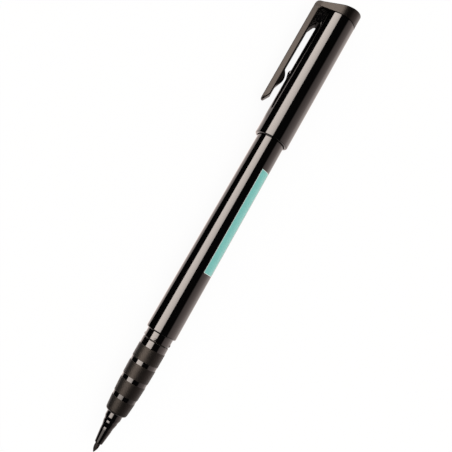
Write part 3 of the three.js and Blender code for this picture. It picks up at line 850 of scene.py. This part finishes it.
# Rings lie close together at the tip, over the ball and towards the crown. One at a guard's
# distance from an edge keeps the shading beside it flat.
ring_guard = 0.05
depths = [plan_radius * (i / 14) ** 2 for i in range(15)] + [0.9, 1.3, 1.7, 2.0, 2.3]
depths += [ramp_length - 0.06, ramp_length, ramp_length + 0.06]
ring_places = [strap_tip + depth for depth in depths]
ring_places += [ramp_end + (ramp_start - ramp_end) * i / 6 for i in range(7)]
ring_places += [ramp_start + (ball_back - ramp_start) * i / 22 for i in range(1, 23)]
ring_places += [ramp_end - ring_guard, ball_back + ring_guard, ball_back + 3]
ring_places += [clip_tip + 20 + 0.5 * i for i in range(24)]
half_rings = []
for x in sorted(ring_places):
    depth = x - strap_tip
    taper = strap_taper * max(0.0, bend_start - x) / (bend_start - strap_tip)
    ramp = (clip_high - clip_low - nose_height) * max(0.0, 1 - depth / ramp_length)
    half_rings.append(strap_ring(x, clip_low + ramp, clip_high - nose(depth, nose_radius),
                                 half_width - taper - nose(depth, plan_radius)))
for i in range(11):
    half_rings.append(strap_ring(bend_start + bend_length * i / 10, clip_low, clip_high,
                                 half_width, math.radians(9 * i)))
half_rings.append(crown_ring(0, lambda y: seat))
half_rings.append(crown_ring(0, lambda y: seat + ring_guard))
half_rings.append(crown_ring(0, lambda y: crown_top(y) - crown_edge - ring_guard))
for i in range(7):
    turn = math.radians(15 * i)
    half_rings.append(crown_ring(crown_edge * (1 - math.cos(turn)),
                                 lambda y: crown_top(y) - crown_edge * (1 - math.sin(turn))))

work = bmesh.new()
rings = skinned(work, [ring + [(x, y, -z) for x, y, z in ring[-2:0:-1]] for ring in half_rings])
work.faces.new(rings[0])
# The lid is closed by rungs from side to side, and by one face behind the clip's flat back
lid = rings[-1]
last_rung = len(half_rings[-1]) - 12
for i in range(last_rung):
    work.faces.new(dict.fromkeys((lid[i], lid[i + 1], lid[-i - 1], lid[-i])))
work.faces.new(lid[last_rung:len(lid) - last_rung + 1])
bmesh.ops.remove_doubles(work, verts=work.verts, dist=weld_distance)
bmesh.ops.recalc_face_normals(work, faces=work.faces)
head_mesh = bpy.data.meshes.new("head")
work.to_mesh(head_mesh)
work.free()
head_mesh.materials.append(fine_satin)
crown_plug_radius, crown_plug_bore = ledge_bore - 0.06, ledge_bore - 0.66
crown_plug = turned(rounded([
    (inner_end + 0.25, crown_plug_bore, 0),
    (inner_end + 0.25, crown_plug_radius, 0.2),
    (seat + 0.8, crown_plug_radius, 0),
    (seat + 0.8, crown_plug_bore, 0),
]), fine_satin)
head = piece("crown_and_clip", united(head_mesh, crown_plug), None, "textured_black",
             "cap_crown", "clip_arm")
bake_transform(head)


# Table, light and camera
# The pen lies on a white table under one long softbox on the clip's side. The camera looks down
# on it from a little towards the nib, and is rolled so that the pen crosses the picture upwards.
scene.view_settings.view_transform = "Standard"


def stage_sheet(name, corners, coat):
    """A flat sheet of the stage, from its corners in metres."""
    mesh = bpy.data.meshes.new(name)
    mesh.from_pydata(corners, [], [tuple(range(len(corners)))])
    mesh.materials.append(coat)
    sheet = bpy.data.objects.new(name, mesh)
    scene.collection.objects.link(sheet)
    return sheet


def light_path(tree, ray):
    return tree.add("ShaderNodeLightPath", {}, {}, ray)


def split(tree, vector, axis):
    return tree.add("ShaderNodeSeparateXYZ", {}, {0: vector}, axis)


# The table as the pen mirrors it carries painted shade: its glow is dimmed towards the nib, by a
# painted shadow of the pen beside it and by a painted shadow under the clip
white_table, tree, shader = material("white table", Base_Color=colour(0.98, 0.98, 0.98),
                                     Roughness=0.9, Specular_IOR_Level=0.0)
seen, mirrored = light_path(tree, "Is Camera Ray"), light_path(tree, "Is Glossy Ray")
spot = tree.add("ShaderNodeNewGeometry", {}, {}, "Position")
spot_x, spot_y = split(tree, spot, "X"), split(tree, spot, "Y")
# Painted light falloff in the mirrored table, dimmer towards the nib
painted_light_towards_crown = spot_x.between(-0.09, -0.045)
# Painted shadow of the pen on the mirrored table, on the side away from the clip
painted_pen_shadow = spot_y.between(0.004, -0.004) * spot_y.between(-0.04, -0.008)
# Painted shadow of the clip on the mirrored table under it, deeper towards the crown
clip_shade = 0.5 + 0.4 * spot_x.between(0.044, 0.052)
painted_clip_shadow = (spot_x.between(0.034, 0.038) * spot_y.between(-0.006, -0.002)
              * spot_y.between(0.013, 0.009))
# The painted light and shade that dims the table's glow in the gloss
lit = (0.45 + 0.55 * painted_light_towards_crown) * (1 - 0.45 * painted_pen_shadow) * (1 - clip_shade * painted_clip_shadow)
glow = tree.add("ShaderNodeEmission", {}, {
    "Color": mixed(tree, mirrored, colour(1, 1, 1), colour(1, 0.86, 0.81)),
    "Strength": 1 - mirrored + 2.4 * mirrored * lit})
shown = tree.add("ShaderNodeMixShader", {}, {
    0: 0.93 * seen + 0.85 * mirrored, 1: Value(tree, shader.outputs[0]), 2: glow})
tree.links.new(shown.socket, tree.nodes["Material Output"].inputs["Surface"])
table_reach, table_top = 3, -0.0002
stage_sheet("table", [(x * table_reach, y * table_reach, table_top)
                      for x, y in ((-1, -1), (1, -1), (1, 1), (-1, 1))], white_table)

# A black card on the clip's side, which only the pen's gloss sees
black_card, tree, shader = material("black card", Base_Color=colour(0.002, 0.002, 0.002),
                                    Roughness=1.0, Specular_IOR_Level=0.0)
card = stage_sheet("flag", [(-0.2, -0.0049, 0.0002), (0.3, 0.0376, 0.0002), (0.3, 0.060, 0.0002),
                            (0.3, 0.075, 0.018), (-0.2, 0.075, 0.018), (-0.2, 0.060, 0.0002)],
                   black_card)
card.visible_camera = card.visible_diffuse = card.visible_shadow = False

# The camera sees a white world, the pen's gloss a room with a low glow away from the clip, and
# everything else an even light
world = bpy.data.worlds.new("studio")
scene.world = world
world.use_nodes = True
world.node_tree.nodes.clear()
tree = Tree(world.node_tree.nodes, world.node_tree.links)
seen, mirrored = light_path(tree, "Is Camera Ray"), light_path(tree, "Is Glossy Ray")
direction = tree.add("ShaderNodeTexCoord", {}, {}, "Generated")
heading_x, heading_y, heading_z = (split(tree, direction, axis) for axis in "XYZ")
low_glow = heading_y.between(-0.48, -0.63) * (0.35 + 0.65 * heading_x.between(-0.35, -0.1))
room = 0.01 + low_glow * (2.2 - 1.4 * heading_z) * (1 - 0.25 * heading_x.between(0.1, 0.4))
strength = seen + (1 - seen) * (mirrored * room + (1 - mirrored) * 0.75)
warmth = mixed(tree, mirrored, colour(1, 0.95, 0.91), colour(1, 0.81, 0.76))
warmth = mixed(tree, seen, warmth, colour(1, 1, 1))
sky = tree.add("ShaderNodeBackground", {}, {"Color": warmth, "Strength": strength})
tree.add("ShaderNodeOutputWorld", {}, {"Surface": sky})

# The softbox hangs over the clip's side, and dims towards one long edge and one end
softbox = bpy.data.lights.new("softbox", "AREA")
softbox.shape = "RECTANGLE"
softbox.size, softbox.size_y = 1.23, 0.557
softbox.color = (1.0, 0.888, 0.815)
softbox.energy = 28.8
softbox.use_nodes = True
tree = Tree(softbox.node_tree.nodes, softbox.node_tree.links)
pane = tree.add("ShaderNodeNewGeometry", {}, {}, "Parametric")
pane_x, pane_y = split(tree, pane, "X"), split(tree, pane, "Y")
pane_strength = 1 - 0.4 * (1 - pane_y) * (1 - pane_y) * (1 - pane_y)
pane_strength = pane_strength * (0.2 + 0.8 * pane_x.between(0.06, 0.3))
pane_glow = tree.add("ShaderNodeEmission", {}, {"Strength": pane_strength})
tree.links.new(pane_glow.socket, softbox.node_tree.nodes["Light Output"].inputs["Surface"])
softbox_lamp = bpy.data.objects.new("softbox", softbox)
scene.collection.objects.link(softbox_lamp)
lamp_turn, lamp_distance, lamp_shift = math.radians(47), 0.6, 0.215
lamp_place = pen_origin + Vector((lamp_shift, lamp_distance * math.sin(lamp_turn),
                                  lamp_distance * math.cos(lamp_turn)))
softbox_lamp.matrix_world = Matrix.Translation(lamp_place) @ Matrix.Rotation(-lamp_turn, 4, "X")
softbox_lamp.visible_diffuse = False

# A wide fill overhead lights the dull surfaces and doesn't show in the gloss
fill = bpy.data.lights.new("fill", "AREA")
fill.size, fill.energy = 1.2, 6.0
fill_lamp = bpy.data.objects.new("fill", fill)
scene.collection.objects.link(fill_lamp)
fill_lamp.location = (-0.2, -0.2, 1.2)
fill_lamp.visible_glossy = False

# The camera's aim and place are measured from the nib's tip
aim = pen_origin + Vector((0.0767743, -0.0009604, 0.0002838))
eye = pen_origin + Vector((0.0564543, 0.0518315, 0.1829463))
slant = math.radians(60.28)
back = (eye - aim).normalized()
along_pen = (Vector((1, 0, 0)) - back * back.x).normalized()
across_pen = along_pen.cross(back)
right = math.cos(slant) * along_pen + math.sin(slant) * across_pen
up = back.cross(right)
camera = bpy.data.objects.new("camera", bpy.data.cameras.new("camera"))
camera.data.lens, camera.data.sensor_width = 50, 36
camera.matrix_world = Matrix.Translation(eye) @ Matrix((right, up, back)).transposed().to_4x4()
scene.collection.objects.link(camera)
scene.camera = camera
